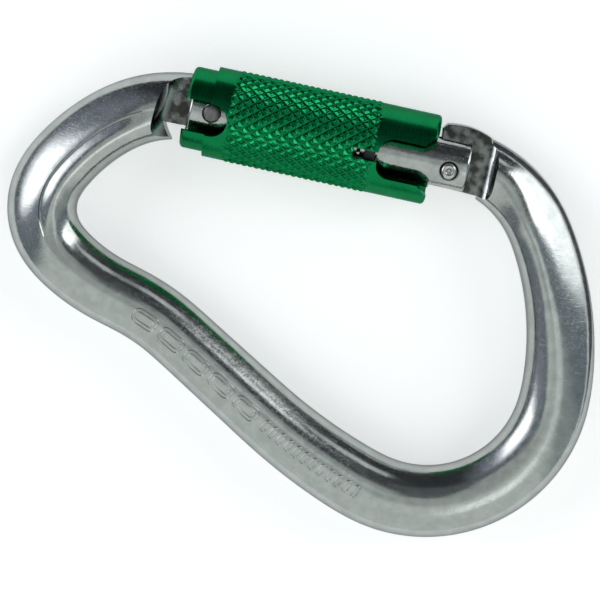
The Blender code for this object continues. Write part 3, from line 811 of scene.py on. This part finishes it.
def make_springs(material):
    """The gate's spring, and the sleeve's spring, which twists between the gate and the sleeve."""
    inner = tube("gate_coil", coil(GATE_SPRING), GATE_SPRING["wire"] / 2, GATE_SPRING["sides"])
    finish_piece(inner, material, "gate", "gate_spring", sharp_angle=60.0)
    foot_x, leg_x = SLEEVE_SPRING["x"]
    foot_y = SLEEVE_SPRING_FOOT_END
    foot = [(foot_x, foot_y, 0.0), (foot_x, foot_y + SLEEVE_SPRING_FOOT_BEND, 0.0)]
    slant = math.radians(REST_ANGLE)
    leg = []
    for distance in (SLEEVE_SPRING["radius"] + SLEEVE_SPRING_LEG_BEND, SLEEVE_SPRING_LEG_END):
        leg.append((leg_x, -distance * math.sin(slant), distance * math.cos(slant)))
    path = foot + coil(SLEEVE_SPRING)[:-1] + leg
    outer = tube("sleeve_coil", path, SLEEVE_SPRING["wire"] / 2, SLEEVE_SPRING["sides"])
    finish_piece(outer, material, None, "sleeve_spring", sharp_angle=60.0)
    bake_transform(outer)


def make_bush(name, node, span, material):
    """A plain ring with chamfered edges, between the gate and the sleeve."""
    low, high = span
    inner, outer = BUSH_RADII
    edge = BUSH_CHAMFER
    ring = [
        (low, inner + edge),
        (low, outer - edge),
        (low + edge, outer),
        (high - edge, outer),
        (high, outer - edge),
        (high, inner + edge),
        (high - edge, inner),
        (low + edge, inner),
    ]
    bush = turned_x(name, ring, BUSH_SIDES, closed=True)
    finish_piece(bush, material, "sleeve", node)


# ---------------------------------------------------------------- locking sleeve


def knurl_radius(x, angle):
    """Outside radius in the knurled band: pyramids left between two sets of spiral grooves."""
    around = KNURL_STARTS * angle / math.tau
    along = (x - KNURL_X[0]) / KNURL_PITCH
    one = 1.0 - abs(2.0 * ((around + along) % 1.0) - 1.0)
    other = 1.0 - abs(2.0 * ((around - along) % 1.0) - 1.0)
    height = min(min(one, other) / KNURL_FLANK_SHARE, 1.0)
    cut = KNURL_VALLEY_RADIUS + (KNURL_TIP_RADIUS - KNURL_VALLEY_RADIUS) * height
    share = smoothstep(x, KNURL_X[0], KNURL_X[0] + KNURL_RUN_OUT)
    share *= 1.0 - smoothstep(x, KNURL_X[1] - KNURL_RUN_OUT, KNURL_X[1])
    return SMOOTH_RADIUS + (cut - SMOOTH_RADIUS) * share


def evenly(start, end, count):
    """count + 1 evenly spaced values."""
    return [start + (end - start) * i / count for i in range(count + 1)]


def make_sleeve(material):
    """A turned tube with its knurl, through-notches, spring slot and stop groove."""
    sides = KNURL_STARTS * KNURL_SAMPLES
    low, high = SLEEVE_X
    edge = SLEEVE_EDGE_ROUNDING
    bore = SLEEVE_BORE_RADIUS
    chamfer = SLEEVE_BORE_CHAMFER
    outside = arc((low + edge, NECK_RADIUS - edge), edge, 180.0, 90.0, 8)
    outside += [(x, NECK_RADIUS) for x in evenly(low + edge, STEP_X, 3)[1:]]
    outside += [(x, SMOOTH_RADIUS) for x in evenly(STEP_X, KNURL_X[0], 3)[:-1]]
    knurl_steps = round((KNURL_X[1] - KNURL_X[0]) / KNURL_PITCH * KNURL_SAMPLES)
    outside += [(x, None) for x in evenly(KNURL_X[0], KNURL_X[1], knurl_steps)]
    outside += [(x, SMOOTH_RADIUS) for x in evenly(KNURL_X[1], high - edge, 9)[1:-1]]
    outside += arc((high - edge, SMOOTH_RADIUS - edge), edge, 90.0, 0.0, 8)
    inside = [(high, bore + chamfer), (high - chamfer, bore)]
    inside += [(x, bore) for x in evenly(high - chamfer, low + chamfer / 2, 12)[1:]]
    inside += [(low, bore + chamfer / 2)]
    rings = []
    for x, radius in outside + inside:
        ring = []
        for k in range(sides):
            angle = math.tau * k / sides
            reach = knurl_radius(x, angle) if radius is None else radius
            ring.append((x, reach * math.cos(angle), reach * math.sin(angle)))
        rings.append(ring)
    sleeve = skin("knurled_sleeve", rings, joined_ends=True)
    far = SLEEVE_CUT_REACH
    slot_start, slot_end = LEG_SLOT_X
    carve(
        sleeve,
        slab("hinge_notch", hinge_notch_outline(), -far, far, REST_ANGLE),
        slab("nose_notch", nose_notch_outline(), -far, far, REST_ANGLE),
        box("leg_slot", (slot_start, -LEG_SLOT_HALF, 0.0), (slot_end, LEG_SLOT_HALF, far), REST_ANGLE),
        stop_groove(),
    )
    finish_piece(sleeve, material, "sleeve", "locking_sleeve", sharp_angle=42.0)


def hinge_notch_outline():
    """A notch with a round end."""
    half = HINGE_NOTCH_HALF
    mouth = SLEEVE_X[0] - CUTTER_OVERLAP
    round_end = arc((HINGE_NOTCH_END_X - half, 0.0), half, -90.0, 90.0, 32)
    return round_end + [(mouth, half), (mouth, -half)]


def nose_notch_outline():
    """A wider notch with round corners, which flares at its mouth."""
    half = NOSE_NOTCH_HALF
    corner = NOSE_NOTCH_CORNER
    corner_x = NOSE_NOTCH_START_X + corner
    upper = arc((corner_x, half - corner), corner, 90.0, 180.0, 16)
    lower = arc((corner_x, corner - half), corner, 180.0, 270.0, 16)
    mouth = SLEEVE_X[1] - NOSE_NOTCH_FLARE
    reach = NOSE_NOTCH_FLARE + CUTTER_OVERLAP
    flare = [(mouth, -half), (mouth + reach, -half - reach), (mouth + reach, half + reach), (mouth, half)]
    return upper + lower + flare


def stop_groove():
    """A sector of a ring inside the sleeve, from -Y round to +Z, in which the stop pin runs."""
    half_width = STOP_PIN_RADIUS + GROOVE_SIDE_GAP
    margin = math.degrees((STOP_PIN_RADIUS + GROOVE_END_GAP) / SLEEVE_BORE_RADIUS)
    start = 180.0 - TWIST_ANGLE - margin
    end = 180.0 + margin
    outline = arc((0.0, 0.0), GROOVE_RADIUS, start, end, 32)
    outline += arc((0.0, 0.0), SLEEVE_BORE_RADIUS - CUTTER_OVERLAP / 2, end, start, 32)
    rings = []
    for x in (STOP_PIN_X - half_width, STOP_PIN_X + half_width):
        rings.append([(x, y, z) for y, z in outline])
    return skin("stop_groove", rings)


# ---------------------------------------------------------------- materials


class Nodes:
    """Short forms for building a node tree. A value is a number, a tuple or another node's output."""

    def __init__(self, tree):
        self.tree = tree

    def new(self, kind):
        return self.tree.nodes.new("ShaderNode" + kind)

    def feed(self, field, value):
        """Sets an input to a number, a vector or an opaque colour, or links another node's output to it."""
        if isinstance(value, float):
            field.default_value = value
        elif isinstance(value, tuple):
            field.default_value = (*value, 1.0) if field.type == "RGBA" else value
        else:
            self.tree.links.new(value, field)

    def math(self, operation, *values):
        node = self.new("Math")
        node.operation = operation
        for field, value in zip(node.inputs, values):
            self.feed(field, value)
        return node.outputs["Value"]

    def mix(self, share, first, second):
        """The first colour where the share is 0, the second where it is 1."""
        node = self.new("Mix")
        node.data_type = "RGBA"
        self.feed(node.inputs["Factor"], share)
        self.feed(node.inputs["A"], first)
        self.feed(node.inputs["B"], second)
        return node.outputs["Result"]


class Shading(Nodes):
    """A node material whose coordinates are the object's own, in metres."""

    def __init__(self, name):
        self.material = bpy.data.materials.new(name)
        self.material.use_nodes = True
        super().__init__(self.material.node_tree)
        self.shader = self.tree.nodes["Principled BSDF"]
        self.place = self.new("TexCoord").outputs["Object"]

    def stretched(self, scale, turn=0.0):
        """Coordinates scaled along each axis and turned about Z by degrees."""
        mapping = self.new("Mapping")
        self.feed(mapping.inputs["Scale"], scale)
        self.feed(mapping.inputs["Rotation"], (0.0, 0.0, math.radians(turn)))
        self.feed(mapping.inputs["Vector"], self.place)
        return mapping.outputs["Vector"]

    def noise(self, scale, detail=2.0, coordinates=None):
        node = self.new("TexNoise")
        self.feed(node.inputs["Scale"], scale)
        self.feed(node.inputs["Detail"], detail)
        self.feed(node.inputs["Vector"], coordinates or self.place)
        return node.outputs["Fac"]

    def spread(self, value, low, high, to_low=0.0, to_high=1.0):
        """Maps the range low to high onto to_low to to_high, and holds values beyond it."""
        node = self.new("MapRange")
        self.feed(node.inputs["Value"], value)
        self.feed(node.inputs["From Min"], low)
        self.feed(node.inputs["From Max"], high)
        self.feed(node.inputs["To Min"], to_low)
        self.feed(node.inputs["To Max"], to_high)
        return node.outputs["Result"]

    def upward(self, vector):
        """How far a vector points up or down."""
        split = self.new("SeparateXYZ")
        self.feed(split.inputs["Vector"], vector)
        return split.outputs["Z"]

    def shaded_flats(self):
        """1 on the low flats that face up or down, where shade is painted, and 0 elsewhere."""
        level = self.math("ABSOLUTE", self.upward(self.new("NewGeometry").outputs["Normal"]))
        height = self.math("ABSOLUTE", self.math("SUBTRACT", self.upward(self.place), HINGE.z))
        low, high = SHADED_FLAT_HEIGHTS
        near_middle = self.spread(height, low * MM, high * MM, 1.0, 0.0)
        return self.math("MULTIPLY", self.spread(level, *SHADED_FLAT_LEVELS), near_middle)

    def bump(self, height, distance, under=None):
        """A bump so many millimetres high, added to the one under it."""
        node = self.new("Bump")
        self.feed(node.inputs["Strength"], 1.0)
        self.feed(node.inputs["Distance"], distance * MM)
        self.feed(node.inputs["Height"], height)
        if under is not None:
            self.feed(node.inputs["Normal"], under)
        return node.outputs["Normal"]

    def set(self, **values):
        """Sets the shader's inputs, with underscores for the spaces in their names."""
        for name, value in values.items():
            self.feed(self.shader.inputs[name.replace("_", " ")], value)
        return self.material


def polished_metal(name, light, dark, roughness, grain):
    """Tumbled and plated metal: mottled, finely pitted, with polishing marks, a few scratches, and painted
    shade on the low flats between the parts.
    """
    look = Shading(name)
    mottle = look.noise(450.0, 4.0)
    specks = look.noise(3200.0, 3.0)
    pits = look.spread(look.noise(6000.0, 1.0), 0.64, 0.74)
    brushed = look.noise(1.0, 3.0, look.stretched((260.0, 2600.0, 260.0), 28.0))
    streaks = look.noise(1.0, 0.0, look.stretched((240.0, 5200.0, 600.0), -35.0))
    scratches = look.spread(streaks, 0.77, 0.83)
    # Where shade is painted: the low flats that face up or down in the gaps between the parts.
    dull = look.shaded_flats()
    colour = look.mix(look.spread(mottle, 0.35, 0.65), dark, light)
    # Painted shade: those flats are darkened towards near black, a little patchily, and made rougher.
    painted_shade = look.math("MULTIPLY", dull, look.spread(mottle, 0.42, 0.6, 1.0, 0.55))
    colour = look.mix(painted_shade, colour, PAINTED_SHADE_COLOUR)
    rough = look.spread(specks, 0.3, 0.75, roughness * 0.75, roughness * 1.45)
    rough = look.math("ADD", rough, look.math("MULTIPLY", dull, SHADED_FLAT_ROUGHNESS))
    lumps = look.bump(mottle, 0.02 * grain)
    fine = look.bump(specks, 0.009 * grain, under=lumps)
    lines = look.bump(brushed, 0.002 * grain, under=fine)
    dents = look.bump(pits, -0.008 * grain, under=lines)
    marks = look.bump(scratches, -0.004 * grain, under=dents)
    return look.set(
        Base_Color=colour,
        Metallic=1.0,
        Roughness=rough,
        Specular_Tint=(0.42, 0.43, 0.44),
        Normal=marks,
    )


def green_anodising():
    """Dyed oxide over turned aluminium: green metal under a thin clear layer."""
    look = Shading("green_anodising")
    cloud = look.noise(300.0, 3.0)
    turning = look.noise(1.0, 2.0, look.stretched((9000.0, 200.0, 200.0)))
    return look.set(
        Base_Color=look.mix(look.spread(cloud, 0.3, 0.7), (0.001, 0.17, 0.05), (0.002, 0.215, 0.066)),
        Metallic=1.0,
        Roughness=look.spread(turning, 0.3, 0.7, 0.2, 0.3),
        Specular_Tint=(0.02, 0.44, 0.42),
        Normal=look.bump(turning, 0.0015),
        Coat_Weight=0.1,
        Coat_Roughness=0.12,
    )


def acetal():
    """Black plastic, slightly cloudy."""
    look = Shading("acetal")
    cloud = look.noise(900.0)
    return look.set(
        Base_Color=look.mix(cloud, (0.012, 0.012, 0.013), (0.03, 0.03, 0.03)),
        Roughness=look.spread(cloud, 0.3, 0.7, 0.4, 0.6),
        Normal=look.bump(cloud, 0.01),
    )


# ---------------------------------------------------------------- camera, floor and light


def view_axes():
    """Right, up and backward axes of the camera, in the frame."""
    height = math.radians(90.0 - CAMERA_TILT)
    side = math.radians(CAMERA_AZIMUTH)
    back = Vector((math.sin(side) * math.cos(height), math.cos(side) * math.cos(height), math.sin(height)))
    up = (Vector((0.0, 1.0, 0.0)) - back * back.y).normalized()
    right = up.cross(back)
    roll = math.radians(CAMERA_ROLL)
    turned_right = right * math.cos(roll) + up * math.sin(roll)
    turned_up = up * math.cos(roll) - right * math.sin(roll)
    return turned_right, turned_up, back


def make_camera(right, up, back):
    """The camera, looking against its backward axis at its target."""
    data = bpy.data.cameras.new("camera")
    data.lens = CAMERA_LENS
    data.sensor_width = CAMERA_SENSOR
    data.clip_start, data.clip_end = CAMERA_CLIP
    camera = bpy.data.objects.new("camera", data)
    matrix = Matrix((right, up, back)).transposed().to_4x4()
    matrix.translation = CAMERA_TARGET + back * CAMERA_DISTANCE
    camera.matrix_world = matrix
    bpy.context.scene.collection.objects.link(camera)
    bpy.context.scene.camera = camera


def make_floor():
    """A pale table top."""
    mesh = bpy.data.meshes.new("floor")
    disc = bmesh.new()
    bmesh.ops.create_circle(disc, cap_ends=True, segments=96, radius=FLOOR_RADIUS)
    disc.to_mesh(mesh)
    disc.free()
    floor = link("floor", mesh)
    look = Shading("pale_floor")
    colour = look.mix(look.noise(40.0, 3.0), (0.80, 0.81, 0.80), (0.82, 0.83, 0.82))
    white = (1.0, 1.0, 1.0)
    paint = look.set(Base_Color=colour, Roughness=0.9, Emission_Color=white, Emission_Strength=FLOOR_GLOW)
    mesh.materials.append(paint)


def make_dark_card():
    """A dark card on the table beyond the wide bend, which the camera doesn't see but the metal does."""
    near, far = CARD_RADII
    start, end = CARD_ANGLES
    outline = arc(CARD_CENTRE, far, end, start, CARD_STEPS)
    for i in range(CARD_STEPS + 1):
        share = i / CARD_STEPS
        radius = far + (near - far) * math.sqrt(smoothstep(share, 0.0, CARD_TAPER))
        outline.append(on_circle(CARD_CENTRE, radius, start + (end - start) * share))
    floor = -HINGE.z / MM
    card = slab("dark_card", outline, floor + CARD_HEIGHTS[0], floor + CARD_HEIGHTS[1])
    look = Shading("dark_card")
    colour = look.mix(look.noise(40.0, 3.0), (0.07, 0.065, 0.09), (0.09, 0.085, 0.11))
    card.data.materials.append(look.set(Base_Color=colour, Roughness=0.9))
    card.visible_camera = False
    card.visible_diffuse = False
    card.visible_shadow = False


class Studio(Nodes):
    """World light built from soft-edged patches.

    off_axis is a direction's angle from the one back to the camera, from 0 to 180 degrees, and bearing
    its angle round that axis, from -90 to 270 degrees.
    """

    def __init__(self, right, up, back):
        world = bpy.data.worlds.new("studio")
        world.use_nodes = True
        bpy.context.scene.world = world
        super().__init__(world.node_tree)
        self.direction = self.new("TexCoord").outputs["Generated"]
        self.off_axis = self.degrees("ARCCOSINE", self.dot(back))
        bearing = self.degrees("ARCTAN2", self.dot(up), self.dot(right))
        self.bearing = self.math("WRAP", bearing, 270.0, -90.0)

    def degrees(self, operation, *values):
        return self.math("MULTIPLY", self.math(operation, *values), 180.0 / math.pi)

    def dot(self, axis):
        """How far the light's direction points along an axis."""
        node = self.new("VectorMath")
        node.operation = "DOT_PRODUCT"
        self.feed(node.inputs[0], self.direction)
        self.feed(node.inputs[1], tuple(axis))
        return node.outputs["Value"]

    def step(self, value, low, high):
        """Rises smoothly from 0 at low to 1 at high."""
        node = self.new("MapRange")
        node.interpolation_type = "SMOOTHSTEP"
        self.feed(node.inputs["Value"], value)
        self.feed(node.inputs["From Min"], low)
        self.feed(node.inputs["From Max"], high)
        return node.outputs["Result"]

    def within(self, value, low, high, soft):
        """1 between low and high and 0 beyond, with soft edges."""
        rise = self.step(value, low - soft / 2, low + soft / 2)
        fall = self.step(value, high - soft / 2, high + soft / 2)
        return self.math("MULTIPLY", rise, self.math("SUBTRACT", 1.0, fall))

    def light(self):
        """Lays the patches over each other, and shows the camera a plain backdrop instead."""
        colour = STUDIO_REST
        for low, high, start, end, soft, radiance in STUDIO_PATCHES:
            share = self.within(self.off_axis, low, high, soft)
            share = self.math("MULTIPLY", share, self.within(self.bearing, start, end, soft))
            colour = self.mix(share, colour, radiance)
        seen = self.new("LightPath").outputs["Is Camera Ray"]
        colour = self.mix(seen, colour, BACKDROP)
        self.feed(self.tree.nodes["Background"].inputs["Color"], colour)


def main():
    path = rod_path()
    body_metal = polished_metal("body_metal", *BODY_METAL)
    gate_metal = polished_metal("gate_metal", *GATE_METAL)
    pin_metal = polished_metal("pin_metal", *PIN_METAL)
    worn_metal = polished_metal("worn_metal", *WORN_METAL)
    wire_metal = polished_metal("wire_metal", *WIRE_METAL)
    plastic = acetal()

    make_body(path, body_metal)
    make_spine_marks(path, body_metal)
    make_gate(gate_metal)
    make_pins(pin_metal, worn_metal)
    make_springs(wire_metal)
    make_bush("hinge_bush", "hinge_end_bush", HINGE_BUSH_X, plastic)
    make_bush("nose_bush", "nose_end_bush", NOSE_BUSH_X, plastic)
    make_sleeve(green_anodising())

    axes = view_axes()
    make_camera(*axes)
    make_floor()
    make_dark_card()
    Studio(*axes).light()
    bpy.context.scene.view_settings.view_transform = "Standard"


main()
